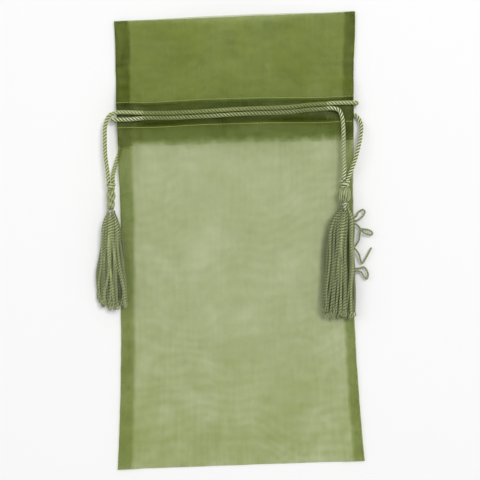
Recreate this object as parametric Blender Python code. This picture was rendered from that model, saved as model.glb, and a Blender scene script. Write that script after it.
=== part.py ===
# Fabric gift sack: a see-through drawstring bag lying on its back, with two
# tasselled drawcords. X runs across, the mouth is at +Y and Z is up.
import math

import bmesh
import bpy
from mathutils import Matrix, Vector

# Driving sizes, millimetres
BAG_HEIGHT = 307.0
TOP_WIDTH = 165.0
WAIST_WIDTH = 159.0
BASE_WIDTH = 169.0
WAIST_HEIGHT = 134.0       # height of the narrowest place above the fold
SEAM_BAND = 11.0           # width of the seam allowance kept inside
HEADER = 58.0              # mouth to the casing's upper stitch line
CASING_DEPTH = 16.0        # between the two stitch lines
HEM_DEPTH = 87.0           # mouth to the lower edge of the turned-in hem
CLOTH = 0.5
GAP = 0.3
PUFF = 11.0                # height of the inside at the middle of the bag
THREAD = 0.4
CORD_DIAMETER = 3.0
LEFT_LEG_DROP = 49.5       # casing middle to the left knot's centre
RIGHT_LEG_DROP = 51.5
KNOT_OUT_LEFT = 5.0        # knot centre outside the left edge
KNOT_IN_RIGHT = 6.0        # knot centre inside the right edge
KNOT_RADIUS = 2.9
LEFT_HEAD_LENGTH = 12.2
LEFT_HEAD_WIDTH = 6.4
LEFT_BINDING_LENGTH = 1.6
LEFT_SKIRT_LENGTH = 66.0
LEFT_SKIRT_WIDTH = 24.0
RIGHT_HEAD_LENGTH = 9.0
RIGHT_HEAD_WIDTH = 8.0
RIGHT_BINDING_LENGTH = 3.8
RIGHT_SKIRT_LENGTH = 75.3
RIGHT_SKIRT_WIDTH = 23.4
SKIRT_THICKNESS = 8.2
STRAY_DIAMETER = 1.3
TASSEL_HEIGHT = 8.8        # height of the tassels' axes above the table

CORD_R = CORD_DIAMETER / 2
TOP_Y = BAG_HEIGHT / 2
BASE_Y = -TOP_Y
WAIST_Y = BASE_Y + WAIST_HEIGHT
UPPER_STITCH = TOP_Y - HEADER
LOWER_STITCH = UPPER_STITCH - CASING_DEPTH
CASING_Y = (UPPER_STITCH + LOWER_STITCH) / 2
HEM_Y = TOP_Y - HEM_DEPTH
STITCH_SLOPE = 1.8
BOX_LOW = LOWER_STITCH + STITCH_SLOPE
BOX_HIGH = UPPER_STITCH - STITCH_SLOPE
ALLOWANCE = 4 * GAP        # thickness of the pressed seam allowances
BAND_STACK = 2 * CLOTH + ALLOWANCE + 2 * GAP
LIFT = CORD_DIAMETER + 2 * GAP
DENT = THREAD + 0.2


def half_width(y):
    if y > WAIST_Y:
        t = (y - WAIST_Y) / (TOP_Y - WAIST_Y)
        return (WAIST_WIDTH + (TOP_WIDTH - WAIST_WIDTH) * t * t) / 2
    t = (WAIST_Y - y) / (WAIST_Y - BASE_Y)
    return (WAIST_WIDTH + (BASE_WIDTH - WAIST_WIDTH) * t * t) / 2


HALF = half_width(CASING_Y)
BAND_IN = HALF - SEAM_BAND
TUNNEL = BAND_IN - 9.3     # where the cords leave the casing's full height
SLIT_IN = TUNNEL + 2.0
FACING_END = TUNNEL + 5.5
RIGHT_LINES = [f * TUNNEL for f in (0, 0.233, 0.467, 0.667, 0.833, 0.967)]
RIGHT_LINES += [SLIT_IN, FACING_END, BAND_IN, HALF]
U_LINES = [-u for u in reversed(RIGHT_LINES[1:])] + RIGHT_LINES
LIFT_FROM = CASING_Y - 52.5
LIFT_FULL = CASING_Y - 37.5
LIFT_END = UPPER_STITCH + 3.5
LIFT_GONE = UPPER_STITCH + 16.5
Y_LINES = [BASE_Y, BASE_Y + 4.5, BASE_Y + 14, BASE_Y + 29, BASE_Y + 48]
Y_LINES += [BASE_Y + 48 + (LIFT_FROM - BASE_Y - 48) * f for f in (0.25, 0.5, 0.75, 1)]
Y_LINES += [LIFT_FULL, HEM_Y - 6, HEM_Y, LOWER_STITCH - 2.1, LOWER_STITCH - 1.1]
Y_LINES += [LOWER_STITCH, BOX_LOW, CASING_Y, BOX_HIGH, UPPER_STITCH]
Y_LINES += [UPPER_STITCH + 1.1, UPPER_STITCH + 2.1, LIFT_END, LIFT_GONE]
Y_LINES += [LIFT_GONE + (TOP_Y - LIFT_GONE) * f for f in (0.33, 0.67, 1)]


def smooth(value, start, end):
    t = min(1.0, max(0.0, (value - start) / (end - start)))
    return t * t * (3 - 2 * t)


def ramp(value, start, end):
    return min(1.0, max(0.0, (value - start) / (end - start)))


def casing_fill(y):
    return min(ramp(y, LOWER_STITCH, BOX_LOW), 1 - ramp(y, BOX_HIGH, UPPER_STITCH))


def crossing_fill(u):
    f = u / TUNNEL
    return min(ramp(f, 0.233, 0.467), 1 - ramp(f, 0.667, 0.833))


def stitch_dent(y):
    low = min(ramp(y, LOWER_STITCH - 2.1, LOWER_STITCH - 1.1),
              1 - ramp(y, LOWER_STITCH, BOX_LOW))
    high = min(ramp(y, BOX_HIGH, UPPER_STITCH),
               1 - ramp(y, UPPER_STITCH + 1.1, UPPER_STITCH + 2.1))
    return DENT * max(low, high)


def back_low(u, y):
    side = smooth(abs(u), SLIT_IN, BAND_IN - 0.8)
    along = smooth(y, LIFT_FROM, LIFT_FULL) * (1 - smooth(y, LIFT_END, LIFT_GONE))
    return LIFT * side * along + stitch_dent(y)


def back_facing_low(u, y):
    room = CORD_DIAMETER + GAP + (CORD_DIAMETER + 2 * GAP) * crossing_fill(u)
    room *= casing_fill(y)
    return max(back_low(u, y) + CLOTH + GAP, CLOTH + GAP + room)


def ceiling(u, y, has_facing):
    floor = back_facing_low(u, y) if has_facing else back_low(u, y)
    floor += CLOTH + GAP
    share = 1 - smooth(abs(u), 0.3 * TUNNEL, 0.967 * TUNNEL)
    share *= smooth(y, BASE_Y, BASE_Y + 48)
    return floor + (max(PUFF, floor) - floor) * share


def front_facing_low(u, y):
    return ceiling(u, y, True)


def front_low(u, y):
    if y < HEM_Y - 0.01:
        inner = ceiling(u, y, False)
    else:
        inner = front_facing_low(u, y) + CLOTH + GAP
        inner += (CORD_DIAMETER + GAP) * casing_fill(y)
    band = back_low(u, y) + BAND_STACK - CLOTH
    side = smooth(abs(u), SLIT_IN, BAND_IN)
    return inner + (band - inner) * side


def allowance_low(u, y):
    return back_low(u, y) + CLOTH + GAP


def cloth_x(u, y):
    return u * half_width(y) / HALF


# Making objects
def clear_scene():
    for thing in list(bpy.data.objects):
        bpy.data.objects.remove(thing)


def material(name, colour, roughness, alpha=1.0):
    made = bpy.data.materials.new(name)
    made.use_nodes = True
    shader = made.node_tree.nodes["Principled BSDF"]
    shader.inputs["Base Color"].default_value = (*colour, 1.0)
    shader.inputs["Roughness"].default_value = roughness
    shader.inputs["Alpha"].default_value = alpha
    return made


def add_mesh(name, shape, look, rounded=False):
    bmesh.ops.recalc_face_normals(shape, faces=shape.faces)
    mesh = bpy.data.meshes.new(name)
    shape.to_mesh(mesh)
    shape.free()
    mesh.materials.append(look)
    for face in mesh.polygons:
        face.use_smooth = rounded
    thing = bpy.data.objects.new(name, mesh)
    bpy.context.collection.objects.link(thing)
    return thing


def cloth_layer(name, look, low, u_lines, y_lines, thickness, slits=False):
    shape = bmesh.new()
    rows = []
    for y in y_lines:
        rows.append([shape.verts.new((cloth_x(u, y) * 0.001, y * 0.001, low(u, y) * 0.001))
                     for u in u_lines])
    for j in range(len(y_lines) - 1):
        for i in range(len(u_lines) - 1):
            u = abs(u_lines[i] + u_lines[i + 1]) / 2
            y = (y_lines[j] + y_lines[j + 1]) / 2
            if slits and SLIT_IN < u < BAND_IN and BOX_LOW < y < BOX_HIGH:
                continue
            a, b = rows[j][i], rows[j][i + 1]
            c, d = rows[j + 1][i + 1], rows[j + 1][i]
            shape.faces.new((a, b, c))
            shape.faces.new((a, c, d))
    raised = bmesh.ops.extrude_face_region(shape, geom=list(shape.faces))
    tops = [v for v in raised["geom"] if isinstance(v, bmesh.types.BMVert)]
    bmesh.ops.translate(shape, verts=tops, vec=(0, 0, thickness * 0.001))
    return add_mesh(name, shape, look)


def tube(name, look, points, radius, resolution=2):
    curve = bpy.data.curves.new(name, "CURVE")
    curve.dimensions = "3D"
    curve.bevel_depth = radius * 0.001
    curve.bevel_resolution = resolution
    curve.resolution_u = 1
    curve.render_resolution_u = 1
    curve.use_fill_caps = True
    spline = curve.splines.new("POLY")
    spline.points.add(len(points) - 1)
    for spot, point in zip(spline.points, points):
        spot.co = (point[0] * 0.001, point[1] * 0.001, point[2] * 0.001, 1.0)
    curve.materials.append(look)
    thing = bpy.data.objects.new(name, curve)
    bpy.context.collection.objects.link(thing)
    return thing


def refine(points, step):
    # rounds a hand-placed path: a curve through every point, cut about one step apart
    path = [Vector(p) for p in points]
    ends = [2 * path[0] - path[1]] + path + [2 * path[-1] - path[-2]]
    out = []
    for i in range(1, len(ends) - 2):
        p0, p1, p2, p3 = ends[i - 1:i + 3]
        count = max(1, round((p2 - p1).length / step))
        for k in range(count):
            t = k / count
            out.append(0.5 * (2 * p1 + (p2 - p0) * t
                              + (2 * p0 - 5 * p1 + 4 * p2 - p3) * t * t
                              + (3 * p1 - p0 - 3 * p2 + p3) * t * t * t))
    out.append(path[-1])
    return out


# The cords' places
BAND_TOP = LIFT + BAND_STACK
OVER_BAND = BAND_TOP + GAP + CORD_R
UNDER_BAND = GAP + CORD_R
BACK_LEVEL = CLOTH + GAP + CORD_R
PAIR = CORD_DIAMETER + 0.4
ROOM = (BOX_HIGH - BOX_LOW) / 2 - PAIR / 2 - CORD_R
CROSS = CORD_R + 0.25      # half the spacing of two legs, one over the other, at a knot
FRONT_WANDER = [(-1, -0.3), (-0.833, -0.4), (-0.667, -0.5), (-0.467, -0.5), (-0.233, -0.4),
                (0, -0.2), (0.233, -0.1), (0.467, -0.05), (0.667, 0.15), (0.833, 0.6),
                (0.967, 0.8), (1, 0.8)]
SPLIT = 0.35               # half the break between a run and a leg


def front_place(f, wander, side):
    u = f * TUNNEL
    level = front_low(u, CASING_Y) - GAP - CORD_R
    return (u, CASING_Y + ROOM * wander + side * PAIR / 2, level)


def front_run(side):
    return [front_place(f, w, side) for f, w in FRONT_WANDER]


def back_place(f, shift, level=0.0):
    return (f * TUNNEL, CASING_Y + shift, BACK_LEVEL + level)


def edge_wrap(side, y_front, y_back):
    # from over the band, round the edge, to under the band
    edge = HALF + 0.4
    spots = [(BAND_IN + 1.2, y_front, OVER_BAND), (edge - 0.4, y_front, OVER_BAND),
             (edge + 1.7, y_front, OVER_BAND - 1.1), (edge + 2.5, (y_front + y_back) / 2, 4.95),
             (edge + 1.7, y_back, UNDER_BAND + 1.1), (edge - 0.4, y_back, UNDER_BAND)]
    return [(side * x, y, z) for x, y, z in spots]


def left_cord_run():
    right_y = CASING_Y + ROOM * 0.8 + PAIR / 2
    rise = CORD_DIAMETER + GAP
    points = front_run(1)
    points += edge_wrap(1, right_y + 0.2, right_y)
    points += [(BAND_IN + 1.2, right_y - 0.2, UNDER_BAND), (SLIT_IN + 3, right_y - 0.6, 2.0)]
    points += [back_place(1, ROOM * 0.5 + PAIR / 2), back_place(0.833, ROOM * 0.4 + PAIR / 2),
               back_place(0.667, ROOM * 0.35 + PAIR / 2, rise), back_place(0.467, -PAIR / 2 - 0.3, rise),
               back_place(0.233, -PAIR / 2), back_place(-0.3, -PAIR / 2), back_place(-1, -PAIR / 2)]
    points[0] = (points[0][0] + SPLIT, *points[0][1:])
    points[-1] = (points[-1][0] + SPLIT, *points[-1][1:])
    return points


def right_cord_run():
    left_y = CASING_Y - ROOM * 0.3 - PAIR / 2
    points = list(reversed(front_run(-1)))
    points += edge_wrap(-1, left_y - 0.8, left_y - 0.6)
    points += [(-BAND_IN - 2.5, CASING_Y + 0.2, UNDER_BAND), (-SLIT_IN - 3, CASING_Y + 1.5, 2.0)]
    points += [back_place(-1, PAIR / 2), back_place(-0.3, PAIR / 2), back_place(0.233, PAIR / 2),
               back_place(0.467, PAIR / 2 + 0.3), back_place(0.667, -PAIR / 2 - 0.3),
               back_place(0.833, -PAIR / 2), back_place(1, -PAIR / 2 + 0.4)]
    points[0] = (points[0][0] - SPLIT, *points[0][1:])
    points[-1] = (points[-1][0] - SPLIT, *points[-1][1:])
    return points


LEFT_KNOT_Y = CASING_Y - LEFT_LEG_DROP
RIGHT_KNOT_Y = CASING_Y - RIGHT_LEG_DROP
LEFT_KNOT = (-half_width(LEFT_KNOT_Y) - KNOT_OUT_LEFT, LEFT_KNOT_Y, TASSEL_HEIGHT)
RIGHT_KNOT = (half_width(RIGHT_KNOT_Y) - KNOT_IN_RIGHT, RIGHT_KNOT_Y, TASSEL_HEIGHT)


def beside(side, drop, out, z):
    # a point that far below the casing's middle and outside the edge there
    y = CASING_Y - drop
    return (side * (half_width(y) + out), y, z)


def legs():
    hang = TASSEL_HEIGHT
    stop = KNOT_RADIUS + 0.45
    start = front_place(-1, -0.3, 1)
    left_front = [(start[0] - SPLIT, *start[1:]), (-SLIT_IN - 2.6, start[1] + 0.2, start[2] + 0.4),
                  (-BAND_IN - 1.2, start[1] + 0.5, OVER_BAND), beside(-1, -1.5, -4.3, OVER_BAND),
                  beside(-1, -1.2, 0, OVER_BAND), beside(-1, 0.9, 4.4, OVER_BAND + 0.3),
                  beside(-1, 7.5, 7.3, hang - 0.5), beside(-1, 18.2, 7.9, hang), beside(-1, 28.1, 7.9, hang),
                  beside(-1, 38, 6.9, hang + CROSS / 2),
                  (LEFT_KNOT[0] - CROSS * 0.7, LEFT_KNOT[1] + stop, hang + CROSS)]
    left_back = [(-TUNNEL - SPLIT, CASING_Y - PAIR / 2, BACK_LEVEL), (-SLIT_IN - 3, CASING_Y - 2.6, 2.0),
                 (-BAND_IN - 1.6, CASING_Y - 4.4, UNDER_BAND), beside(-1, 10.5, -5.6, UNDER_BAND),
                 beside(-1, 21.5, -2.4, UNDER_BAND), beside(-1, 30, 0.8, UNDER_BAND),
                 beside(-1, 37, 2.9, 3.4), beside(-1, 42, 3.7, 6.2),
                 (LEFT_KNOT[0] + CROSS * 0.7, LEFT_KNOT[1] + stop, hang - CROSS)]
    start = front_place(1, 0.8, -1)
    right_front = [(start[0] + SPLIT, *start[1:]), (SLIT_IN + 3, start[1] + 0.3, start[2] + 0.5),
                   (BAND_IN + 1.0, CASING_Y - 0.5, OVER_BAND + 0.2), beside(1, 5.5, -7.7, OVER_BAND + 1.1),
                   beside(1, 13.3, -6.9, OVER_BAND + 1.0), beside(1, 23, -6.7, OVER_BAND),
                   beside(1, 33, -6.6, OVER_BAND + 0.2), beside(1, 41.5, -6.5, hang + CROSS / 2),
                   (RIGHT_KNOT[0] - CROSS * 0.7, RIGHT_KNOT[1] + stop, hang + CROSS)]
    right_back = [(TUNNEL + SPLIT, CASING_Y - PAIR / 2 + 0.4, BACK_LEVEL),
                  (SLIT_IN + 3, CASING_Y - 1.4, 2.0), (BAND_IN + 1.2, CASING_Y - 1.6, UNDER_BAND),
                  beside(1, 2.6, -0.9, UNDER_BAND),
                  beside(1, 5.5, 3.7, 2.4), beside(1, 11.5, 5.9, 4.2), beside(1, 20, 4.9, 6.6),
                  beside(1, 27, 3.2, OVER_BAND), beside(1, 36, 0.6, OVER_BAND), beside(1, 43, -2.2, 7.9),
                  (RIGHT_KNOT[0] + CROSS * 0.7, RIGHT_KNOT[1] + stop, hang - CROSS)]
    return {"left_cord_front_leg": left_front, "left_cord_back_leg": left_back,
            "right_cord_front_leg": right_front, "right_cord_back_leg": right_back}


# Tassels, made pointing down -Y from the knot's centre and then turned
def ring_solid(name, look, stations, sides, lobes, lobe_depth, place, turn):
    shape = bmesh.new()
    rings = []
    for y, a, c in stations:
        ring = []
        for k in range(sides):
            t = 2 * math.pi * k / sides
            r = 1 + lobe_depth * math.cos(lobes * t)
            ring.append(shape.verts.new((a * r * math.cos(t), y, c * r * math.sin(t))))
        rings.append(ring)
    for low, high in zip(rings, rings[1:]):
        for k in range(sides):
            shape.faces.new((low[k], low[(k + 1) % sides], high[(k + 1) % sides], high[k]))
    shape.faces.new(rings[0])
    shape.faces.new(list(reversed(rings[-1])))
    move = Matrix.Translation(place) @ Matrix.Rotation(turn, 4, "Z")
    bmesh.ops.transform(shape, matrix=Matrix.Scale(0.001, 4) @ move, verts=shape.verts)
    return add_mesh(name, shape, look, rounded=lobes == 0)


def knot(name, look, place):
    shape = bmesh.new()
    bmesh.ops.create_uvsphere(shape, u_segments=16, v_segments=10, radius=KNOT_RADIUS)
    bmesh.ops.transform(shape, matrix=Matrix.Scale(0.001, 4) @ Matrix.Translation(place), verts=shape.verts)
    return add_mesh(name, shape, look, rounded=True)


# shapes as shares of length and of half the width
HEADS = {"left": [(0, 0.62), (0.1, 0.92), (0.3, 1), (0.46, 0.86), (0.54, 0.74), (0.64, 0.84),
                  (0.85, 0.82), (1, 0.68)],
         "right": [(0, 0.72), (0.12, 0.96), (0.4, 1), (0.82, 0.95), (1, 0.72)]}
SKIRTS = {"left": [(0, 0.24), (0.07, 0.4), (0.2, 0.54), (0.4, 0.63), (0.6, 0.75), (0.7, 0.87), (0.86, 1),
                   (0.95, 0.97), (1, 0.8)],
          "right": [(0, 0.3), (0.06, 0.57), (0.2, 0.69), (0.38, 0.76), (0.57, 0.83), (0.76, 0.92), (0.9, 1),
                    (0.96, 0.98), (1, 0.82)]}


def tassel(side, looks, place, head, binding, skirt, turn):
    # head, binding and skirt give each part's length and width
    y = -KNOT_RADIUS - GAP
    length, width = head
    rings = [(y - f * length, w * width / 2, w * width * 0.44) for f, w in HEADS[side]]
    ring_solid(side + "_tassel_head", looks["head"], rings, 16, 0, 0, place, turn)
    y -= length + GAP
    length, width = binding
    wound = ((0, 0.9), (0.3, 1), (0.7, 1), (1, 0.9))
    rings = [(y - f * length, w * width / 2, w * width * 0.46) for f, w in wound]
    ring_solid(side + "_tassel_binding", looks["binding"], rings, 16, 0, 0, place, turn)
    y -= length + GAP
    length, width = skirt
    rings = []
    for f, w in SKIRTS[side]:
        deep = 0.58 if f == 0 else 0.8 if f in (0.06, 0.07) else 0.55 if f == 1 else 1
        rings.append((y - f * length, w * width / 2, deep * SKIRT_THICKNESS / 2))
    ring_solid(side + "_tassel_skirt", looks["skirt"], rings, 32, 16, 0.035, place, turn)


STRAYS = {
    # points from the right knot's centre: across, along, up
    "right_stray_loop_upper": [
        (7.4, -21.3, -1.2), (8.4, -19.3, -1.2), (10.2, -17.6, -1.2), (12.2, -16.9, -1.2),
        (13.5, -18.4, -1.2), (12.3, -20.9, -1.2), (10.1, -22.9, -1.2), (8.2, -24.0, -1.2)],
    "right_stray_loop_middle": [
        (8.0, -27.3, -2.2), (10.3, -29.7, -2.2), (12.9, -30.2, -2.0), (15.8, -30.8, -1.6),
        (18.2, -32.6, -1.4), (17.6, -34.2, -1.1), (14.6, -33.6, -0.7), (11.9, -32.3, -0.2),
        (10.5, -30.6, -0.1), (9.5, -33.8, -0.5), (8.9, -37.6, -1.2)],
    "right_stray_bent_strand": [
        (8.6, -47.0, -1.6), (9.4, -50.0, -1.8), (10.6, -53.4, -1.8), (12.2, -52.0, -1.8),
        (14.6, -48.0, -1.8), (17.6, -42.6, -1.8)],
    "right_stray_loop_lower": [
        (9.4, -56.6, -1.6), (11.6, -56.0, -1.6), (13.7, -58.0, -1.6), (14.7, -61.4, -1.6),
        (13.6, -64.2, -1.6), (11.7, -62.2, -1.6), (10.0, -59.4, -1.6)],
}


def build():
    clear_scene()
    sheer = material("sheer_green_organza", (0.20, 0.26, 0.07), 0.45, 0.55)
    hem = material("folded_green_organza", (0.15, 0.20, 0.05), 0.45, 0.7)
    thread = material("pale_green_thread", (0.38, 0.40, 0.14), 0.5)
    green = material("green_rayon_cord", (0.24, 0.30, 0.12), 0.35)
    pale = material("pale_flecked_cord", (0.45, 0.50, 0.34), 0.35)
    yarn = material("sage_rayon_yarn", (0.19, 0.23, 0.11), 0.45)
    tie = material("light_binding_thread", (0.42, 0.46, 0.27), 0.5)

    cloth_layer("back_panel", sheer, back_low, U_LINES, Y_LINES, CLOTH, slits=True)
    cloth_layer("front_panel", sheer, front_low, U_LINES, Y_LINES, CLOTH, slits=True)
    facing_u = [u for u in U_LINES if abs(u) <= FACING_END + 0.01]
    facing_y = [y for y in Y_LINES if y >= HEM_Y - 0.01]
    cloth_layer("back_hem", hem, back_facing_low, facing_u, facing_y, CLOTH)
    cloth_layer("front_hem", hem, front_facing_low, facing_u, facing_y, CLOTH)
    inner, outer = BAND_IN, HALF - 1.7
    cloth_layer("left_seam_allowance", hem, allowance_low, [-outer, -inner], Y_LINES, ALLOWANCE)
    cloth_layer("right_seam_allowance", hem, allowance_low, [inner, outer], Y_LINES, ALLOWANCE)

    r = THREAD / 2
    for name, y in (("upper", UPPER_STITCH + 0.55), ("lower", LOWER_STITCH - 0.55)):
        over = [(cloth_x(u, y), y, front_low(u, y) + CLOTH + 0.1 + r) for u in U_LINES]
        under = [(cloth_x(u, y), y, back_low(u, y) - 0.1 - r) for u in U_LINES]
        tube("front_" + name + "_stitching", thread, over, r, 1)
        tube("back_" + name + "_stitching", thread, under, r, 1)
    for name, side in (("left", -1), ("right", 1)):
        u = side * (HALF - 0.8)
        seam = [(cloth_x(u, y), y, back_low(u, y) + CLOTH + GAP + ALLOWANCE / 2) for y in Y_LINES]
        seam[0] = (seam[0][0], seam[0][1] + 0.5, seam[0][2])
        seam[-1] = (seam[-1][0], seam[-1][1] - 0.5, seam[-1][2])
        tube(name + "_side_stitching", thread, seam, r, 1)

    tube("left_cord_run", green, refine(left_cord_run(), 8.0), CORD_R)
    tube("right_cord_run", pale, refine(right_cord_run(), 8.0), CORD_R)
    for name, points in legs().items():
        tube(name, green if name.startswith("left") else pale, refine(points, 4.5), CORD_R)

    looks = {"head": yarn, "binding": tie, "skirt": yarn}
    knot("left_cord_knot", green, LEFT_KNOT)
    knot("right_cord_knot", pale, RIGHT_KNOT)
    tassel("left", looks, LEFT_KNOT, (LEFT_HEAD_LENGTH, LEFT_HEAD_WIDTH), (LEFT_BINDING_LENGTH, 5.6),
           (LEFT_SKIRT_LENGTH, LEFT_SKIRT_WIDTH), math.radians(-1.5))
    tassel("right", looks, RIGHT_KNOT, (RIGHT_HEAD_LENGTH, RIGHT_HEAD_WIDTH), (RIGHT_BINDING_LENGTH, 5.8),
           (RIGHT_SKIRT_LENGTH, RIGHT_SKIRT_WIDTH), math.radians(-3.5))
    stretch = RIGHT_SKIRT_WIDTH / 23.4
    for name, points in STRAYS.items():
        placed = [(RIGHT_KNOT[0] + x * stretch, RIGHT_KNOT[1] + y, RIGHT_KNOT[2] + z) for x, y, z in points]
        tube(name, yarn, refine(placed, 1.6), STRAY_DIAMETER / 2, 1)


build()
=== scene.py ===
import math
import random
import bmesh
import bpy
from mathutils import Matrix, Vector, noise


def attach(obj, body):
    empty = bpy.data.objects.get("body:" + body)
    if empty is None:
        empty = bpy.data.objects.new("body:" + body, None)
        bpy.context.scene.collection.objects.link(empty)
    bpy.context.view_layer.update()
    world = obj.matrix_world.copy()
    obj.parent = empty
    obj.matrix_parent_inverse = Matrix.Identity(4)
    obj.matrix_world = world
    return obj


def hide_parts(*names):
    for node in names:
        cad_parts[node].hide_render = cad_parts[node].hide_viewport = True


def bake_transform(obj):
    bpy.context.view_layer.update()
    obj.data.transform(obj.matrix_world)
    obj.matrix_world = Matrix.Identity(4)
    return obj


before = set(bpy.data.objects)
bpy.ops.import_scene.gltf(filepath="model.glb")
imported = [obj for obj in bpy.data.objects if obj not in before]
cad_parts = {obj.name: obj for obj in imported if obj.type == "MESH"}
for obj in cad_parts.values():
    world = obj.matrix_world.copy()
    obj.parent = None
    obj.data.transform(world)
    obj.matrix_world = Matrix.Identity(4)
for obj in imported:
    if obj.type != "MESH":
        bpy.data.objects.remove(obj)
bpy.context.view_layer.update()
print("frame loaded")

mm = 0.001


# small helpers
def smooth(value, start, end):
    t = min(1.0, max(0.0, (value - start) / (end - start)))
    return t * t * (3 - 2 * t)


def ramp(value, start, end):
    return min(1.0, max(0.0, (value - start) / (end - start)))


def blendOf(a, b, share):
    return a + (b - a) * share


class Wire:

    def __init__(self, tree, socket):
        self.tree = tree
        self.socket = socket

    def math(self, operation, *values):
        return addNode(self.tree, "ShaderNodeMath", {"operation": operation}, values)

    def __add__(self, other):
        return self.math("ADD", self, other)

    def __sub__(self, other):
        return self.math("SUBTRACT", self, other)

    def __rsub__(self, other):
        return self.math("SUBTRACT", other, self)

    def __mul__(self, other):
        return self.math("MULTIPLY", self, other)

    def __pow__(self, other):
        return self.math("POWER", self, other)

    __radd__ = __add__
    __rmul__ = __mul__


def addNode(tree, kind, settings=None, values=(), out=0):
    node = tree.nodes.new(kind)
    for key, value in (settings or {}).items():
        if key == "stops":
            while len(node.color_ramp.elements) < len(value):
                node.color_ramp.elements.new(0.5)
            for stop, (place, colour) in zip(node.color_ramp.elements, value):
                stop.position = place
                stop.color = (*colour, 1.0)
        else:
            setattr(node, key, value)
    pairs = values.items() if isinstance(values, dict) else enumerate(values)
    for key, value in pairs:
        if isinstance(value, Wire):
            tree.links.new(value.socket, node.inputs[key])
        elif isinstance(value, tuple) and len(value) == 3 and node.inputs[key].type == "RGBA":
            node.inputs[key].default_value = (*value, 1.0)
        else:
            node.inputs[key].default_value = value
    return Wire(tree, node.outputs[out])


def newMaterial(name, **sockets):
    material = bpy.data.materials.new(name)
    material.use_nodes = True
    shader = material.node_tree.nodes["Principled BSDF"]
    for key, value in sockets.items():
        socket = shader.inputs[key.replace("_", " ")]
        socket.default_value = (*value, 1.0) if isinstance(value, tuple) else value
    return material, material.node_tree, shader


def mixColours(tree, share, a, b):
    node = tree.nodes.new("ShaderNodeMix")
    node.data_type = "RGBA"
    for socket, value in ((node.inputs["Factor"], share), (node.inputs[6], a), (node.inputs[7], b)):
        if isinstance(value, Wire):
            tree.links.new(value.socket, socket)
        else:
            socket.default_value = (*value, 1.0) if isinstance(value, tuple) else value
    return Wire(tree, node.outputs[2])


def finishPiece(name, bm, material, body, nodes):
    mesh = bpy.data.meshes.new(name)
    bm.to_mesh(mesh)
    bm.free()
    mesh.shade_smooth()
    mesh.materials.append(material)
    piece = bpy.data.objects.new(name, mesh)
    bpy.context.collection.objects.link(piece)
    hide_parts(*nodes)
    if body:
        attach(piece, body)
    return piece


# the camera comes first
view = dict(centre=(1.7, 0.5), across=326.4, lens=85.0, turn=-1.4)
camera = bpy.data.objects.new("camera", bpy.data.cameras.new("camera"))
bpy.context.collection.objects.link(camera)
camera.data.lens = view["lens"]
camera.data.sensor_width = 36.0
camera.location = (view["centre"][0] * mm, view["centre"][1] * mm,
                   (view["across"] * view["lens"] / 36.0 + 6.0) * mm)
camera.rotation_euler = (0, 0, math.radians(view["turn"]))
bpy.context.scene.camera = camera

# sizes in millimetres, the same as the frame's
bag = dict(height=307.0, topWidth=165.0, waistWidth=159.0, baseWidth=169.0, waistHeight=134.0,
           seamBand=11.0, header=58.0, casingDepth=16.0, hemDepth=87.0, turnedUnder=28.5,
           puff=11.0, cloth=0.5, gap=0.3)
rope = dict(diameter=3.0, pitch=6.9, plies=3, sides=18, step=0.55)

ropeR = rope["diameter"] / 2
topY = bag["height"] / 2
baseY = -topY
waistY = baseY + bag["waistHeight"]
upperStitch = topY - bag["header"]
lowerStitch = upperStitch - bag["casingDepth"]
casingY = (upperStitch + lowerStitch) / 2
hemY = topY - bag["hemDepth"]
boxLow, boxHigh = lowerStitch + 1.8, upperStitch - 1.8
gap, cloth = bag["gap"], bag["cloth"]
bandStack = 2 * cloth + 6 * gap
lift = rope["diameter"] + 2 * gap


def halfWidth(y):
    if y > waistY:
        t = (y - waistY) / (topY - waistY)
        return (bag["waistWidth"] + (bag["topWidth"] - bag["waistWidth"]) * t * t) / 2
    t = (waistY - y) / (waistY - baseY)
    return (bag["waistWidth"] + (bag["baseWidth"] - bag["waistWidth"]) * t * t) / 2


half = halfWidth(casingY)
bandIn = half - bag["seamBand"]
tunnel = bandIn - 9.3
slitIn = tunnel + 2.0


# heights of the cloth layers
def casingFill(y):
    return min(smooth(y, lowerStitch, lowerStitch + 3.2), 1 - smooth(y, upperStitch - 3.2, upperStitch))


def crossingFill(u):
    f = u / tunnel
    return min(smooth(f, 0.233, 0.467), 1 - smooth(f, 0.667, 0.833))


def stitchDent(y):
    low = min(smooth(y, lowerStitch - 2.1, lowerStitch - 1.1), 1 - smooth(y, lowerStitch, boxLow))
    high = min(smooth(y, boxHigh, upperStitch), 1 - smooth(y, upperStitch + 1.1, upperStitch + 2.1))
    return 0.6 * max(low, high)


def backLow(u, y):
    side = smooth(abs(u), slitIn, bandIn - 0.8)
    along = smooth(y, casingY - 52.5, casingY - 37.5)
    along *= 1 - smooth(y, upperStitch + 3.5, upperStitch + 16.5)
    return lift * side * along + stitchDent(y)


def backFacingLow(u, y):
    room = rope["diameter"] + gap + lift * crossingFill(u)
    return max(backLow(u, y) + cloth + gap, cloth + gap + room * casingFill(y))


def openShare(u, y):
    return (1 - smooth(abs(u), 0.3 * tunnel, 0.967 * tunnel)) * smooth(y, baseY, baseY + 48)


def ceiling(u, y, hasFacing):
    floor = (backFacingLow(u, y) if hasFacing else backLow(u, y)) + cloth + gap
    return blendOf(floor, max(bag["puff"], floor), openShare(u, y))


def frontLow(u, y):
    hem = smooth(y, hemY - 6, hemY)
    plain = ceiling(u, y, False)
    doubled = ceiling(u, y, True) + cloth + gap + (rope["diameter"] + gap) * casingFill(y)
    inner = blendOf(plain, doubled, hem)
    band = backLow(u, y) + bandStack - cloth
    return blendOf(inner, band, smooth(abs(u), slitIn, bandIn))


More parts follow.
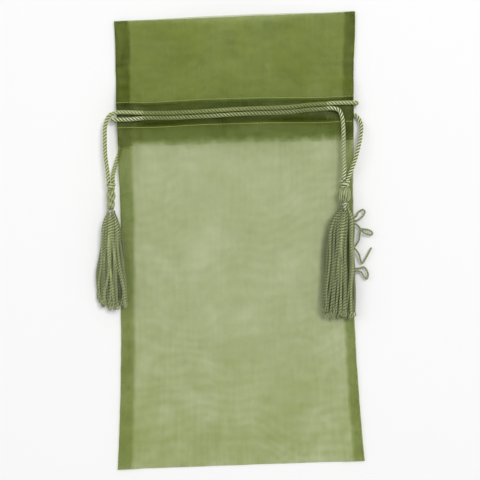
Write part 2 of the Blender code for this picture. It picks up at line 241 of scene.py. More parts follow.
# paths of the cords
bandTop = lift + bandStack
overBand, underBand = bandTop + gap + ropeR, gap + ropeR
backLevel = cloth + gap + ropeR
pair = rope["diameter"] + 0.4
room = (boxHigh - boxLow) / 2 - pair / 2 - ropeR
wander = [(-1, -0.3), (-0.833, -0.4), (-0.667, -0.5), (-0.467, -0.5), (-0.233, -0.4), (0, -0.2),
          (0.233, -0.1), (0.467, -0.05), (0.667, 0.15), (0.833, 0.6), (0.967, 0.8), (1, 0.8)]


def frontPlace(f, shift, side):
    u = f * tunnel
    return (u, casingY + room * shift + side * pair / 2, frontLow(u, casingY) - gap - ropeR)


def backPlace(f, shift, level=0.0):
    return (f * tunnel, casingY + shift, backLevel + level)


def edgeWrap(side, yFront, yBack):
    edge = half + 0.4
    spots = [(bandIn + 1.2, yFront, overBand), (edge - 0.4, yFront, overBand),
             (edge + 1.7, yFront, overBand - 1.1), (edge + 2.5, (yFront + yBack) / 2, 4.95),
             (edge + 1.7, yBack, underBand + 1.1), (edge - 0.4, yBack, underBand)]
    return [(side * x, y, z) for x, y, z in spots]


def leftRunPoints():
    y = casingY + room * 0.8 + pair / 2
    rise = rope["diameter"] + gap
    points = [frontPlace(f, w, 1) for f, w in wander[1:]]
    points += edgeWrap(1, y + 0.2, y)
    points += [(bandIn + 1.2, y - 0.2, underBand), (slitIn + 3, y - 0.6, 2.0)]
    points += [backPlace(1, room * 0.5 + pair / 2), backPlace(0.833, room * 0.4 + pair / 2),
               backPlace(0.667, room * 0.35 + pair / 2, rise), backPlace(0.467, -pair / 2 - 0.3, rise),
               backPlace(0.233, -pair / 2), backPlace(-0.3, -pair / 2), backPlace(-0.8, -pair / 2)]
    return points


def rightRunPoints():
    y = casingY - room * 0.3 - pair / 2
    points = [frontPlace(f, w, -1) for f, w in reversed(wander[:-2])]
    points += edgeWrap(-1, y - 0.8, y - 0.6)
    points += [(-bandIn - 2.5, casingY + 0.2, underBand), (-slitIn - 3, casingY + 1.5, 2.0)]
    points += [backPlace(-1, pair / 2), backPlace(-0.3, pair / 2), backPlace(0.233, pair / 2),
               backPlace(0.467, pair / 2 + 0.3), backPlace(0.667, -pair / 2 - 0.3),
               backPlace(0.833, -pair / 2)]
    return points


axisZ, knotR = 8.8, 2.9
leftKnotY, rightKnotY = casingY - 49.5, casingY - 51.5
leftKnot = Vector((-halfWidth(leftKnotY) - 5.0, leftKnotY, axisZ))
rightKnot = Vector((halfWidth(rightKnotY) - 6.0, rightKnotY, axisZ))
cross, stop = ropeR + 0.25, knotR + 0.45
startL, startR = frontPlace(-1, -0.3, 1), frontPlace(1, 0.8, -1)
insideL, insideR = frontPlace(-0.833, -0.4, 1), frontPlace(0.833, 0.6, -1)


def beside(side, drop, out, z):  # below the casing's middle and outside the edge there
    y = casingY - drop
    return (side * (halfWidth(y) + out), y, z)


legPoints = {
    "leftFront": [
        insideL, startL, (-slitIn - 2.6, startL[1] + 0.2, startL[2] + 0.4),
        (-bandIn - 1.2, startL[1] + 0.5, overBand), beside(-1, -1.5, -4.3, overBand),
        beside(-1, -1.2, 0, overBand), beside(-1, 0.9, 4.4, overBand + 0.3),
        beside(-1, 7.5, 7.3, axisZ - 0.5), beside(-1, 18.2, 7.9, axisZ), beside(-1, 28.1, 7.9, axisZ),
        beside(-1, 38, 6.9, axisZ + cross / 2),
        (leftKnot.x - cross * 0.7, leftKnotY + stop, axisZ + cross)],
    "leftBack": [
        backPlace(-0.8, -pair / 2), (-tunnel, casingY - pair / 2, backLevel),
        (-slitIn - 3, casingY - 2.6, 2.0), (-bandIn - 1.6, casingY - 4.4, underBand),
        beside(-1, 10.5, -5.6, underBand), beside(-1, 21.5, -2.4, underBand),
        beside(-1, 30, 0.8, underBand), beside(-1, 37, 2.9, 3.4), beside(-1, 42, 3.7, 6.2),
        (leftKnot.x + cross * 0.7, leftKnotY + stop, axisZ - cross)],
    "rightFront": [
        insideR, startR, (slitIn + 3, startR[1] + 0.3, startR[2] + 0.5),
        (bandIn + 1.0, casingY - 0.5, overBand + 0.2), beside(1, 5.5, -7.7, overBand + 1.1),
        beside(1, 13.3, -6.9, overBand + 1.0), beside(1, 23, -6.7, overBand),
        beside(1, 33, -6.6, overBand + 0.2), beside(1, 41.5, -6.5, axisZ + cross / 2),
        (rightKnot.x - cross * 0.7, rightKnotY + stop, axisZ + cross)],
    "rightBack": [
        backPlace(0.833, -pair / 2), (tunnel, casingY - pair / 2 + 0.4, backLevel),
        (slitIn + 3, casingY - 1.4, 2.0), (bandIn + 1.2, casingY - 1.6, underBand),
        beside(1, 2.6, -0.9, underBand), beside(1, 5.5, 3.7, 2.4), beside(1, 11.5, 5.9, 4.2),
        beside(1, 20, 4.9, 6.6), beside(1, 27, 3.2, overBand), beside(1, 36, 0.6, overBand),
        beside(1, 43, -2.2, 7.9), (rightKnot.x + cross * 0.7, rightKnotY + stop, axisZ - cross)],
}


def smoothPath(points, step):
    path = [Vector(p) for p in points]
    ends = [2 * path[0] - path[1]] + path + [2 * path[-1] - path[-2]]
    dense = []
    for i in range(1, len(ends) - 2):
        a, b, c, d = ends[i - 1:i + 3]
        for k in range(24):
            t = k / 24
            dense.append(0.5 * (2 * b + (c - a) * t + (2 * a - 5 * b + 4 * c - d) * t * t
                                + (3 * b - a - 3 * c + d) * t * t * t))
    dense.append(path[-1])
    return evenPath(dense, step)


def evenPath(dense, step):
    reach = [0.0]
    for a, b in zip(dense, dense[1:]):
        reach.append(reach[-1] + (b - a).length)
    count = max(2, round(reach[-1] / step))
    out, j = [], 0
    for k in range(count + 1):
        want = reach[-1] * k / count
        while j < len(dense) - 2 and reach[j + 1] < want:
            j += 1
        span = max(1e-9, reach[j + 1] - reach[j])
        out.append(dense[j].lerp(dense[j + 1], min(1.0, (want - reach[j]) / span)))
    return out


def pathLength(path):
    return sum((b - a).length for a, b in zip(path, path[1:]))


# a twisted tube along a path: a grid is wrapped round it and its seam is merged
def twistTube(bm, path, radius, plies, pitch, sides, depth=0.34, startTurn=0.0, radiusAt=None,
              flat=1.0, capped=(True, True), tone=1.0):
    rows = len(path)
    plyLayer = bm.verts.layers.float.get("ply") or bm.verts.layers.float.new("ply")
    toneAndShadeLayer = bm.verts.layers.float.get("tone") or bm.verts.layers.float.new("tone")
    made = bmesh.ops.create_grid(bm, x_segments=sides, y_segments=rows - 1, size=1.0)["verts"]
    tangents = [(path[min(rows - 1, i + 1)] - path[max(0, i - 1)]).normalized() for i in range(rows)]
    side = Vector((0, 0, 1)) if abs(tangents[0].z) < 0.9 else Vector((1, 0, 0))
    sideways, run = [], [0.0]
    for i, t in enumerate(tangents):
        side = (side - t * side.dot(t)).normalized()
        sideways.append(side.copy())
        if i:
            run.append(run[-1] + (path[i] - path[i - 1]).length)
    for v in made:
        col = round((v.co.x + 1) / 2 * sides) % sides
        row = round((v.co.y + 1) / 2 * (rows - 1))
        angle = 2 * math.pi * col / sides
        lobe = abs(math.cos(angle * plies / 2)) if plies > 1 else 1.0
        r = radius * (1 - depth * (1 - lobe))
        if radiusAt:
            r *= radiusAt(run[row] / run[-1])
        edge = min(run[row] if capped[0] else radius, run[-1] - run[row] if capped[1] else radius)
        r *= math.sqrt(max(0.0, 1 - (1 - min(1.0, edge / radius)) ** 2))
        turned = angle + startTurn + 2 * math.pi * run[row] / pitch
        a = sideways[row]
        b = tangents[row].cross(a)
        v.co = path[row] + a * (math.cos(turned) * r * flat) + b * (math.sin(turned) * r)
        v.co *= mm
        v[plyLayer] = lobe
        v[toneAndShadeLayer] = tone


def closeTube(bm):
    bmesh.ops.remove_doubles(bm, verts=bm.verts, dist=2e-7)
    bmesh.ops.recalc_face_normals(bm, faces=bm.faces)


# finishes
# deep is the darkest fibre colour, reached where the share is high; in the casing it is painted shade of the
# cords
clothLook = dict(tint=(0.84, 0.86, 0.76), fibre=(0.33, 0.40, 0.10), leaf=(0.33, 0.41, 0.05),
                 deep=(0.11, 0.15, 0.008), cover=0.105, patch=0.15, mottle=0.12, streak=0.045, weft=0.012,
                 warp=0.05, moire=0.03, roughness=0.5)


def organza(name, look):
    material, tree, shader = newMaterial(name, Roughness=look["roughness"])
    place = addNode(tree, "ShaderNodeUVMap", {"uv_map": "flat"})

    def cloud(across, along, detail=2.0, warp=0.0):
        scaled = addNode(tree, "ShaderNodeMapping", {}, {"Vector": place, "Scale": (across, along, 1.0)})
        return addNode(tree, "ShaderNodeTexNoise", {}, {"Vector": scaled, "Scale": 1.0, "Detail": detail,
                                                        "Distortion": warp})

    grain = addNode(tree, "ShaderNodeTexWave", {"bands_direction": "Y"}, {
        "Vector": addNode(tree, "ShaderNodeMapping", {}, {"Vector": place, "Scale": (1.3, 1.0, 1.0)}),
        "Scale": 3.6, "Distortion": 24.0, "Detail": 1.5, "Detail Scale": 0.36}, out=1)
    share = addNode(tree, "ShaderNodeAttribute", {"attribute_name": "share"}, (), out=2)
    whole = addNode(tree, "ShaderNodeAttribute", {"attribute_name": "whole"}, (), out=2)
    cover = (look["cover"] + (cloud(2.3, 3.1, 4.0, 0.4) - 0.5) * (2 * look["patch"])
             + (cloud(7.5, 6.0, 4.0, 0.8) - 0.5) * (2 * look["mottle"])
             + (cloud(1.2, 5.0, 3.0, 2.0) - 0.5) * (2 * look["streak"])
             + (cloud(2.0, 60.0, 3.0) - 0.5) * (2 * look["weft"])
             + (cloud(38.0, 2.2) - 0.5) * (2 * look["warp"])
             + (grain - 0.5) * (cloud(1.6, 1.4, 1.0) * (2 * look["moire"])))
    cover = addNode(tree, "ShaderNodeClamp", {}, {"Value": cover * share, "Min": 0.01, "Max": 0.9})
    bump = addNode(tree, "ShaderNodeBump", {}, {"Strength": 0.12, "Distance": 0.0002,
                                                "Height": cloud(240.0, 240.0, 1.0)})
    tree.links.new(bump.socket, shader.inputs["Normal"])
    clear = addNode(tree, "ShaderNodeBsdfTransparent", {}, {"Color": look["tint"]})
    # the fibre colour darkens towards deep as the share rises; in the casing that is painted shade of the
    # cords
    colour = addNode(tree, "ShaderNodeValToRGB", {"stops": (
        (0.5, look["fibre"]), (0.72, look["leaf"]), (0.97, look["deep"]))}, {"Fac": share * 0.5})
    tree.links.new(colour.socket, shader.inputs["Base Color"])
    nothing = addNode(tree, "ShaderNodeBsdfTransparent", {}, {"Color": (1.0, 1.0, 1.0)})
    mixed = addNode(tree, "ShaderNodeMixShader", {}, (cover, clear, Wire(tree, shader.outputs[0])))
    mixed = addNode(tree, "ShaderNodeMixShader", {}, (whole, nothing, mixed))
    out = next(n for n in tree.nodes if n.type == "OUTPUT_MATERIAL")
    tree.links.new(mixed.socket, out.inputs["Surface"])
    return material


def silkRope(name, dark, light, roughness, relief=0.9, bite=1.6, flecks=0.32):
    material, tree, shader = newMaterial(name, Roughness=roughness, Sheen_Weight=0.25)
    ply = addNode(tree, "ShaderNodeAttribute", {"attribute_name": "ply"}, (), out=2)
    tone = addNode(tree, "ShaderNodeAttribute", {"attribute_name": "tone"}, (), out=2)
    place = addNode(tree, "ShaderNodeTexCoord", {}, (), out=3)
    fleck = addNode(tree, "ShaderNodeTexNoise", {}, {"Vector": place, "Scale": 900.0, "Detail": 2.0})
    # the ply crests are pulled towards the light colour and the grooves between plies towards the dark one:
    # painted highlight on the crests and painted shade in the grooves, with real flecks on top
    share = (ply ** bite) * relief + (fleck - 0.5) * flecks
    share = addNode(tree, "ShaderNodeClamp", {}, {"Value": share * tone})
    colour = mixColours(tree, share, dark, light)
    tree.links.new(colour.socket, shader.inputs["Base Color"])
    hair = addNode(tree, "ShaderNodeTexNoise", {}, {"Vector": place, "Scale": 3500.0, "Detail": 2.0})
    bump = addNode(tree, "ShaderNodeBump", {}, {"Strength": 0.3, "Distance": 0.0002, "Height": hair})
    tree.links.new(bump.socket, shader.inputs["Normal"])
    return material


sackCloth = organza("sheerGreenOrganza", clothLook)
greenCord = silkRope("greenRayonCord", (0.035, 0.06, 0.01), (0.66, 0.71, 0.31), 0.38, relief=1.0)
paleCord = silkRope("paleFleckedCord", (0.02, 0.04, 0.006), (0.82, 0.87, 0.48), 0.35, relief=1.1, bite=2.8)
tasselYarn = silkRope("sageRayonYarn", (0.012, 0.022, 0.005), (0.54, 0.61, 0.25), 0.42, relief=1.0,
                      bite=2.1)
headYarn = silkRope("headRayonYarn", (0.05, 0.075, 0.02), (0.52, 0.57, 0.28), 0.45, relief=0.95)
tieThread = silkRope("lightBindingThread", (0.03, 0.05, 0.012), (0.74, 0.79, 0.50), 0.4, relief=1.0,
                     bite=2.2)
seamThread = silkRope("paleGreenThread", (0.24, 0.29, 0.07), (0.46, 0.50, 0.18), 0.5)
print("finishes made")


# the cloth: one strip with its hems, turned-under edges and seam allowances
clothMesh = dict(column=2.3, row=2.4, fine=0.9, wrinkle=0.8, ripple=0.16, leftBand=10.4, rightBand=7.8)


def rowPlaces():
    def lines(start, end):
        out, y = [], start
        way = 1 if end > start else -1
        while (end - y) * way > 1e-6:
            out.append(y)
            near = hemY - 1 < y < upperStitch + 4
            y += way * (clothMesh["fine"] if near else clothMesh["row"])
        return out + [end]
    turned = hemY + bag["turnedUnder"]
    rows = [("flap", 1, y) for y in lines(turned, hemY)]
    rows += [("facing", 1, y) for y in lines(hemY, topY)]
    rows += [("outer", 1, y) for y in lines(topY, baseY)]
    rows += [("outer", -1, y) for y in lines(baseY, topY)][1:]
    rows += [("facing", -1, y) for y in lines(topY, hemY)]
    rows += [("flap", -1, y) for y in lines(hemY, turned)]
    return rows


def columnPlaces():
    count = round(half / clothMesh["column"])
    inner = [half * k / count for k in range(count + 1)]
    left, right = [[half + step for step in (0.5, 2.0, wide / 2, wide - 2.2, wide - 1.1, wide)]
                   for wide in (clothMesh["leftBand"], clothMesh["rightBand"])]
    return [-u for u in reversed(left)] + [-u for u in reversed(inner[1:])] + inner + right


def lean(x, y):  # the sack lies a little askew
    shift = blendOf(-1.2, 0.5, smooth(y, -60, 70)) + 1.2 * smooth(y, 90, topY)
    tilt = blendOf(0.011, 0.004, smooth(y, -100, 70)) + 0.013 * smooth(y, 95, topY)
    return x + shift, y + tilt * x


def coverAndPaintedLight(u, y):  # how densely the cloth covers, against its look's cover, with painted shade in the casing and a painted highlight along the top fold
    inCasing = smooth(y, lowerStitch - 2, lowerStitch + 1)
    inCasing *= 1 - smooth(y, upperStitch - 1, upperStitch + 2)
    if abs(u) > half:  # the seam allowance: lighter low down
        uneven = noise.noise(Vector((u / 6, y / 11, 4.0)))
        uneven += 0.8 * noise.noise(Vector((u / 3, y / 3.5, 8.0)))
        upper = 1.6 * smooth(y, lowerStitch - 8, upperStitch)
        return blendOf(0.2, 0.55, smooth(y, -150, -75)) + upper + uneven
    # in the casing the share is raised by half: painted shade of the cords lying under the cloth there
    share = blendOf(1.0, 1.45, smooth(y, lowerStitch - 4, lowerStitch + 2)) + 0.5 * inCasing
    # the last factor lightens the cloth within 3 mm of the top fold: a painted highlight along the fold
    return (share + 0.42 * (1 - smooth(y, -130, -35))) * (1 - 0.5 * smooth(y, topY - 3, topY))


def wholeShare(u, layer, side, y):  # raw and folded inner edges are soft and uneven
    rough = noise.noise(Vector((u / 7, y / 7, side * 3.0)))
    rough += 0.5 * noise.noise(Vector((u / 2.2, y / 2.2, 5.0)))
    if abs(u) > half:
        wide = clothMesh["leftBand"] if u < 0 else clothMesh["rightBand"]
        return smooth(half + wide - abs(u) + 0.9 * rough, 0.0, 2.6)
    if layer in ("facing", "flap"):
        return smooth(y + 2.8 * rough, hemY - 1.0, hemY + 6.5)
    return 1.0


def clothPlace(u, layer, side, y):
    folded = abs(u) > half
    across = 2 * half - abs(u) if folded else abs(u)
    u = math.copysign(across, u)
    band = smooth(across, slitIn, bandIn)
    low = backLow(u, y)
    if side > 0:
        facing = blendOf(ceiling(u, y, True) + 0.25, low + 1.7, band)
        height = {"outer": frontLow(u, y) + 0.25, "facing": facing, "flap": facing + 0.25}[layer]
        if folded:
            height += -0.3 if layer == "outer" else 0.25
    else:
        facing = blendOf(backFacingLow(u, y) + 0.25, low + 0.95, band)
        height = {"outer": low + 0.2, "facing": facing, "flap": facing - 0.2}[layer]
        if folded:
            height += 0.3 if layer == "outer" else -0.25
    free = openShare(u, y) * (1 - 0.7 * casingFill(y))
    wave = noise.noise(Vector((u / 34, y / 46, 3.0))) + 0.4 * noise.noise(Vector((u / 13, y / 17, 7.0)))
    if side > 0:
        height += clothMesh["wrinkle"] * wave * free
        pucker = max(0.0, 1 - min(abs(y - upperStitch), abs(y - lowerStitch)) / 6.0)
        phase = u * 1.15 + 2.5 * noise.noise(Vector((u / 9, y / 30, 1.0)))
        height += clothMesh["ripple"] * pucker * math.sin(phase)
    sway = 0.5 * noise.noise(Vector((3.0, y / 30, 5.0))) + 0.25 * noise.noise(Vector((8.0, y / 9, 2.0)))
    x, y = lean(u * halfWidth(y) / half + sway * across / half, y)
    y += 0.35 * noise.noise(Vector((u / 25, 4.0, 9.0)))
    if side > 0:
        y -= 0.13 * max(0.0, height - 3) * smooth(y, topY - 25, topY)
    return Vector((x, y, max(0.05, height))) * mm


def makeCloth():
    rows, columns = rowPlaces(), columnPlaces()
    bm = bmesh.new()
    flatMap = bm.loops.layers.uv.new("flat")
    shareLayer = bm.verts.layers.float.new("share")
    wholeLayer = bm.verts.layers.float.new("whole")
    grid = bmesh.ops.create_grid(bm, x_segments=len(columns) - 1, y_segments=len(rows) - 1, size=1.0)
    spot = {}
    length = [0.0]
    for (_, _, a), (_, _, b) in zip(rows, rows[1:]):
        length.append(length[-1] + abs(b - a))
    for v in grid["verts"]:
        i = round((v.co.x + 1) / 2 * (len(columns) - 1))
        j = round((v.co.y + 1) / 2 * (len(rows) - 1))
        spot[v] = (columns[i], j)
        v.co = clothPlace(columns[i], *rows[j])
        v[shareLayer] = coverAndPaintedLight(columns[i], rows[j][2])
        v[wholeLayer] = wholeShare(columns[i], *rows[j])
    slits = []
    for face in bm.faces:
        for loop in face.loops:
            u, j = spot[loop.vert]
            loop[flatMap].uv = (u / 100, length[j] / 100)
        u = sum(abs(spot[v][0]) for v in face.verts) / 4
        layers = {rows[spot[v][1]][0] for v in face.verts}
        y = sum(rows[spot[v][1]][2] for v in face.verts) / 4
        if layers == {"outer"} and slitIn < u < bandIn - 1 and boxLow < y < boxHigh:
            slits.append(face)
    bmesh.ops.delete(bm, geom=slits, context="FACES")
    return finishPiece("sackCloth", bm, sackCloth, "sack",
                       ("front_panel", "back_panel", "front_hem", "back_hem",
                        "left_seam_allowance", "right_seam_allowance")), length[-1]


clothPiece, stripLength = makeCloth()
print("cloth made", round(stripLength), "mm long")


# stitches: short rounded threads, one after the other
stitch = dict(radius=0.18)


def stitchRow(name, places, node):
    path = evenPath([Vector(p) for p in places], 0.45)
    each = 4
    bm = bmesh.new()
    for k in range(0, len(path) - each, each + 1):
        part = path[k:k + each + 1]
        part = [part[0], part[0].lerp(part[1], 0.5)] + part[1:-1] + [part[-2].lerp(part[-1], 0.5), part[-1]]
        twistTube(bm, part, stitch["radius"], 1, 50.0, 6)
    closeTube(bm)
    return finishPiece(name, bm, seamThread, "sack", (node,))


def stitchPlaces(y, front):
    places = []
    for k in range(121):
        u = half * (k / 60 - 1)
        z = backLow(u, y) - 0.1 - stitch["radius"]
        if front:
            z = frontLow(u, y) + cloth + 0.12 + stitch["radius"]
        places.append((*lean(u * halfWidth(y) / half, y), z))
    return places


for label, y in (("Upper", upperStitch + 0.55), ("Lower", lowerStitch - 0.55)):
    node = "_" + label.lower() + "_stitching"
    stitchRow("front" + label + "Stitches", stitchPlaces(y, True), "front" + node)
    stitchRow("back" + label + "Stitches", stitchPlaces(y, False), "back" + node)
for label, side in (("left", -1), ("right", 1)):
    u = side * (half - 0.8)
    steps = [baseY + 0.6 + (bag["height"] - 1.2) * k / 150 for k in range(151)]
    places = [(*lean(u * halfWidth(y) / half, y), backLow(u, y) + cloth + 3 * gap) for y in steps]
    stitchRow(label + "SideStitches", places, label + "_side_stitching")
print("stitches made")


# cords
def ropePiece(name, path, material, nodes, body=None, startTurn=0.0, capped=(True, True)):
    bm = bmesh.new()
    twistTube(bm, path, ropeR, rope["plies"], rope["pitch"], rope["sides"], startTurn=startTurn,
              capped=capped)
    closeTube(bm)
    return finishPiece(name, bm, material, body, nodes)


def metres(path):
    return [tuple(p * mm) for p in path]


for side, points, material, slot in (("left", leftRunPoints(), greenCord, "green_rayon_cord"),
                                     ("right", rightRunPoints(), paleCord, "pale_flecked_cord")):
    path = smoothPath(points, rope["step"])
    run = ropePiece(side + "CordRun", path, material, (side + "_cord_run",), "sack",
                    capped=(False, False))
    tuple(path[0] * mm)
    pathLength(path) * mm
    metres(path)

legs = {
    # where each leg starts and stops turning with the swing, is cut in two, and starts and stops being drawn
    "leftFront": dict(turn=((-74, 89), (-86, 78)), splitY=71.5, drawn=((0, 70), (0, 42))),
    "leftBack": dict(turn=((-69, 83), (-78.5, 72)), splitY=70.5, drawn=((0, 60), (0, 41.5))),
    "rightFront": dict(turn=((69, 88), (73, 76)), splitY=71.0, drawn=((0, 69), (0, 42))),
    "rightBack": dict(turn=((74, 86), (86, 76)), splitY=71.0, drawn=((0, 69), (0, 42))),
}
for name, leg in legs.items():
    side = "left" if name.startswith("left") else "right"
    slot, material = ("green_rayon_cord", greenCord) if side == "left" else ("pale_flecked_cord", paleCord)
    node = side + "_cord_" + ("front" if name.endswith("Front") else "back") + "_leg"
    path = smoothPath(legPoints[name], rope["step"])
    cut = next(i for i, p in enumerate(path) if p.y < leg["splitY"] and abs(p.x) > half - 12)
    upper, lower = path[:cut + 1], path[cut:]
    turn = 2 * math.pi * pathLength(upper) / rope["pitch"]
    first = ropePiece(name + "LegUpper", upper, material, (node,), capped=(False, False))
    second = ropePiece(name + "LegLower", lower, material, (node,), startTurn=turn,
                       capped=(False, False))
    side + "_cord_legs"
    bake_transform(first)
    side + "_cord_legs"
    side + "_knot"
    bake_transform(second)
    for piece, part in ((first, upper), (second, lower)):
        tuple(part[0] * mm)
        pathLength(part) * mm
        metres(part)
        print(piece.name, round(pathLength(part), 1), "mm")
print("cords made")


# knots and tassels: sizes, then shapes as shares of length and width
tassel = {
    "left": dict(head=(12.2, 6.4), headTwist=34.0, headPlies=7, binding=1.6, skirt=(66.0, 24.0),
                 turn=-1.5, seed=5, aside=0.0, droop=2.2,
                 headShape=[(0, 0.62), (0.1, 0.92), (0.3, 1), (0.46, 0.86), (0.54, 0.74), (0.64, 0.84),
                            (0.85, 0.82), (1, 0.68)],
                 skirtShape=[(0, 0.24), (0.07, 0.4), (0.2, 0.54), (0.4, 0.63), (0.6, 0.75), (0.7, 0.87),
                             (0.86, 1), (1, 0.97)],
                 hemShape=[(-1, 0.87), (-0.5, 0.96), (0, 1.0), (0.6, 0.97), (1, 0.98)]),
    "right": dict(head=(9.0, 8.0), headTwist=150.0, headPlies=13, binding=3.8, skirt=(75.3, 23.4),
                  turn=-3.5, seed=11, aside=-1.3, droop=2.0,
                  headShape=[(0, 0.72), (0.12, 0.96), (0.4, 1), (0.82, 0.95), (1, 0.72)],
                  skirtShape=[(0, 0.3), (0.06, 0.6), (0.2, 0.8), (0.38, 0.88), (0.57, 0.93), (0.76, 0.97),
                              (0.9, 1), (1, 0.98)],
                  hemShape=[(-1, 0.93), (-0.4, 1.0), (0.3, 0.98), (1, 1.0)]),
}
strand = dict(radius=0.98, pitch=3.9, layers=(12, 10, 9), eye=2.6, eyeYarn=0.5, stray=0.72)


def along(shape, t):
    for (a, p), (b, q) in zip(shape, shape[1:]):
        if t <= b:
            return blendOf(p, q, ramp(t, a, b))
    return shape[-1][1]


def settle(bm, place, turn):
    move = Matrix.Translation(place * mm) @ Matrix.Rotation(turn, 4, "Z")
    bmesh.ops.transform(bm, matrix=move, verts=bm.verts)


def knotPiece(side, place, material):
    # the two legs wrap once round each other and tuck into a ball
    bm = bmesh.new()
    for sign in (-1, 1):
        points = [(sign * cross * 0.7, stop, -sign * cross)]
        for k in range(1, 15):
            t = k / 14
            a = math.atan2(-1 / 0.7, 1) + (0 if sign > 0 else math.pi) + t * 1.45 * math.pi
            r = blendOf(2.1, 1.35, t)
            points.append((r * math.cos(a), blendOf(stop - 0.6, -1.5, t), r * math.sin(a)))
        twistTube(bm, smoothPath(points, 0.45), 1.45, 3, rope["pitch"], 18)
    closeTube(bm)
    settle(bm, place, 0.0)
    finishPiece(side + "CordKnot", bm, material, side + "_knot", (side + "_cord_knot",))


def tasselPieces(side, place):
    look = tassel[side]
    rng = random.Random(look["seed"])
    turn = math.radians(look["turn"])
    body = side + "_tassel"
    headLong, headWide = look["head"]
    top = -knotR + 1.9
    neck = -knotR - gap - headLong

    bm = bmesh.new()
    straight = [Vector((0, blendOf(top, neck, k / 50), 0)) for k in range(51)]
    plies = look["headPlies"]
    twistTube(bm, straight, headWide / 2, plies, look["headTwist"], plies * 6, depth=0.2,
              radiusAt=lambda t: along(look["headShape"], t), flat=0.88)
    for k in range(5):  # loose yarns over the head
        a = rng.uniform(0.6, 2.5)
        drift = rng.uniform(-0.5, 0.5)
        points = []
        for j in range(6):
            t = 0.04 + 0.92 * j / 5
            r = along(look["headShape"], t) * headWide / 2 * 0.96
            b = a + drift * t
            points.append((r * math.cos(b), blendOf(top, neck, t), r * 0.88 * math.sin(b) + 0.1))
        twistTube(bm, smoothPath(points, 0.5), 0.42, 2, 2.4, 8, tone=rng.uniform(0.9, 1.3))
    closeTube(bm)
    settle(bm, place, turn)
    finishPiece(side + "TasselHead", bm, headYarn, body, (side + "_tassel_head",))

    bm = bmesh.new()
    bound = look["binding"]
    wraps = []
    turns = 4 if bound < 3 else 6
    for k in range(40 * turns + 1):
        t = k / (40 * turns)
        a = 2 * math.pi * turns * t
        y = neck - 0.2 - min(bound, 2.2) * 0.8 * t
        wraps.append(Vector((2.75 * math.cos(a), y, 2.5 * math.sin(a))))
    twistTube(bm, evenPath(wraps, 0.45), 0.34, 2, 1.6, 8)
    bead = [(0.3, neck + 0.6, 2.4), (0.1, neck - 0.6, 3.5), (-0.2, neck - 2.4, 4.0),
            (0.1, neck - bound - 1.2, 3.4)]
    twistTube(bm, smoothPath(bead, 0.3), 0.8 if bound < 3 else 1.1, 2, 3.8, 16, depth=0.5)
    closeTube(bm)
    settle(bm, place, turn)
    finishPiece(side + "TasselBinding", bm, tieThread, body,
                (side + "_tassel_binding",))

    bm = bmesh.new()
    length, width = look["skirt"]
    start = neck - gap - bound - gap
    wide = width / 2 - strand["radius"]
    for layer, count in enumerate(strand["layers"]):
        for k in range(count):
            f = (k + 0.5) / count * 2 - 1 + rng.uniform(-0.75, 0.75) / count
            f = max(-1.0, min(1.0, f))
            level = (1 - layer) * 2.3 + rng.uniform(-0.45, 0.45)
            reach = length * along(look["hemShape"], f) * rng.uniform(0.94, 1.0) - strand["eye"]
            drift, swing, phase = rng.uniform(-1.4, 1.4), rng.uniform(-0.8, 0.8), rng.uniform(0, 6.3)
            # each strand's tone varies at random and is lowered layer by layer: painted shade on the strands
            # lying under the others
            tone = rng.uniform(0.5, 1.2) * (1 - 0.25 * layer)
            points = [(f * 1.9, neck + 0.3, level * 0.7)]
            for t in (0, 0.08, 0.2, 0.32, 0.46, 0.6, 0.74, 0.88, 1.0):
                x = f * wide * along(look["skirtShape"], t)
                stray = drift * math.sin(math.pi * t * 1.4) + swing * math.sin(9 * t + phase)
                x += stray * smooth(t, 0.05, 0.45)
                x = max(-wide, min(wide, x)) + look["aside"] * smooth(t, 0, 0.25)
                z = level * blendOf(0.72, 1.0, smooth(t, 0, 0.2)) * (1 - 0.35 * f * f)
                z += 0.35 * math.sin(5 * t + 9 * f + layer) - look["droop"] * smooth(t, 0.05, 0.5)
                z -= look["droop"] * smooth(t, 0.1, 0.6) * smooth(-place.x - x, half + 7.5, half + 12)
                points.append((x, start - reach * t, z))
            path = smoothPath(points, 0.5)
            pitch = strand["pitch"] * rng.uniform(0.93, 1.12)
            twistTube(bm, path, strand["radius"], 2, pitch, 8, depth=0.42, tone=tone,
                      startTurn=rng.uniform(0, 6.28),
                      radiusAt=lambda t: blendOf(0.66, 1.0, smooth(t, 0.0, 0.2)))
            # each strand ends in its own small loop
            end, way = path[-1], (path[-1] - path[-4]).normalized()
            a = rng.uniform(-0.9, 0.9)
            aside = Vector((math.cos(a), 0, math.sin(a)))
            outline = [(-0.8, 0), (0.5, 0.75), (1.7, 0.95), (strand["eye"], 0), (1.7, -0.95), (0.5, -0.75),
                       (-0.8, 0)]
            eye = [end + way * down + aside * over for down, over in outline]
            twistTube(bm, smoothPath(eye, 0.35), strand["eyeYarn"], 2, 2.0, 8, depth=0.15,
                      tone=min(1.25, tone + 0.25))
    closeTube(bm)
    settle(bm, place, turn)
    finishPiece(side + "TasselSkirt", bm, tasselYarn, body, (side + "_tassel_skirt",))


knotPiece("left", leftKnot, greenCord)
knotPiece("right", rightKnot, paleCord)
tasselPieces("left", leftKnot)
tasselPieces("right", rightKnot)

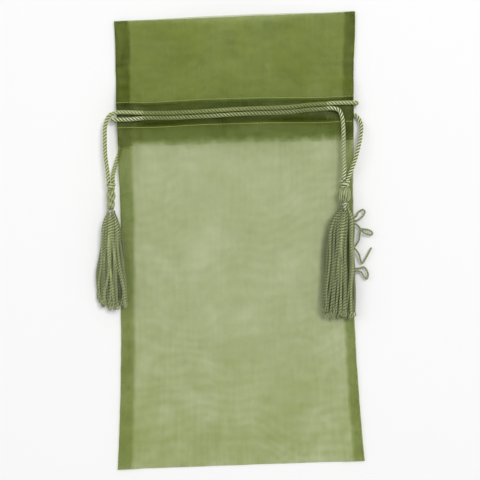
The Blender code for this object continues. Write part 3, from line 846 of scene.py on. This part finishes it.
# strands pulled out of the right tassel; both ends run back into the skirt, except the bent one's tip
strays = {
    "right_stray_loop_upper": [
        (3.6, -23.0, -1.6), (7.4, -21.3, -1.2), (8.4, -19.3, -1.2), (10.2, -17.6, -1.2),
        (12.2, -16.9, -1.2), (13.5, -18.4, -1.2), (12.3, -20.9, -1.2), (10.1, -22.9, -1.2),
        (8.2, -24.0, -1.2), (4.0, -25.0, -1.6)],
    "right_stray_loop_middle": [
        (4.4, -25.2, -2.2), (8.0, -27.3, -2.2), (10.3, -29.7, -2.2), (12.9, -30.2, -2.0),
        (15.8, -30.8, -1.6),
        (18.2, -32.6, -1.4), (17.6, -34.2, -1.1), (14.6, -33.6, -0.7), (11.9, -32.3, -0.2),
        (10.5, -30.6, -0.1), (9.5, -33.8, -0.5), (8.9, -37.6, -1.2), (6.0, -42.0, -1.8)],
    "right_stray_bent_strand": [
        (5.4, -42.5, -2.0), (8.6, -47.0, -1.6), (9.4, -50.0, -1.8), (10.6, -53.4, -1.8),
        (12.2, -52.0, -1.8),
        (14.6, -48.0, -1.8), (17.6, -42.6, -1.8)],
    "right_stray_loop_lower": [
        (5.6, -57.0, -2.0), (9.4, -56.6, -1.6), (11.6, -56.0, -1.6), (13.7, -58.0, -1.6),
        (14.7, -61.4, -1.6),
        (13.6, -64.2, -1.6), (11.7, -62.2, -1.6), (10.0, -59.4, -1.6), (6.0, -58.6, -2.0)],
}
for node, points in strays.items():
    bm = bmesh.new()
    resting = [(x, y, z - 2.0 - 2.0 * smooth(x, 7.0, 11.0)) for x, y, z in points]
    path = smoothPath([rightKnot + Vector(p) for p in resting], 0.35)
    twistTube(bm, path, strand["stray"], 2, 3.0, 10, depth=0.3, tone=0.9)
    closeTube(bm)
    words = node.split("_")
    name = words[0] + "".join(w.capitalize() for w in words[1:])
    finishPiece(name, bm, tasselYarn, "right_tassel", (node,))
print("tassels made")

stripWidth = 2 * half + clothMesh["leftBand"] + clothMesh["rightBand"]
stripWidth * mm
stripLength * mm

# floor and light
studio = dict(floor=(0.95, 0.95, 0.95), sky=0.44, key=4.9, fill=1.9)
bm = bmesh.new()
bmesh.ops.create_grid(bm, x_segments=1, y_segments=1, size=3.0)
bmesh.ops.translate(bm, verts=bm.verts, vec=(0, 0, -0.0003))
floorMesh = bpy.data.meshes.new("floor")
bm.to_mesh(floorMesh)
bm.free()
floorPiece = bpy.data.objects.new("floor", floorMesh)
bpy.context.collection.objects.link(floorPiece)
floorLook = newMaterial("paleTable", Base_Color=studio["floor"], Roughness=0.8)[0]
floorMesh.materials.append(floorLook)


def addLight(name, place, size, power):
    lamp = bpy.data.lights.new(name, "AREA")
    lamp.shape = "DISK"
    lamp.size = size
    lamp.energy = power
    thing = bpy.data.objects.new(name, lamp)
    thing.location = place
    thing.rotation_euler = (-Vector(place)).to_track_quat("-Z", "Y").to_euler()
    bpy.context.collection.objects.link(thing)


addLight("keyLight", (0.85, 0.8, 3.0), 1.2, studio["key"] * 10)
addLight("fillLight", (-1.6, 0.6, 2.6), 2.4, studio["fill"] * 10)
world = bpy.data.worlds.new("studio")
world.use_nodes = True
world.node_tree.nodes["Background"].inputs["Color"].default_value = (1, 1, 1, 1)
world.node_tree.nodes["Background"].inputs["Strength"].default_value = studio["sky"]
bpy.context.scene.world = world
bpy.context.scene.view_settings.view_transform = "Standard"
bpy.context.scene.cycles.transparent_max_bounces = 40
print("studio made")
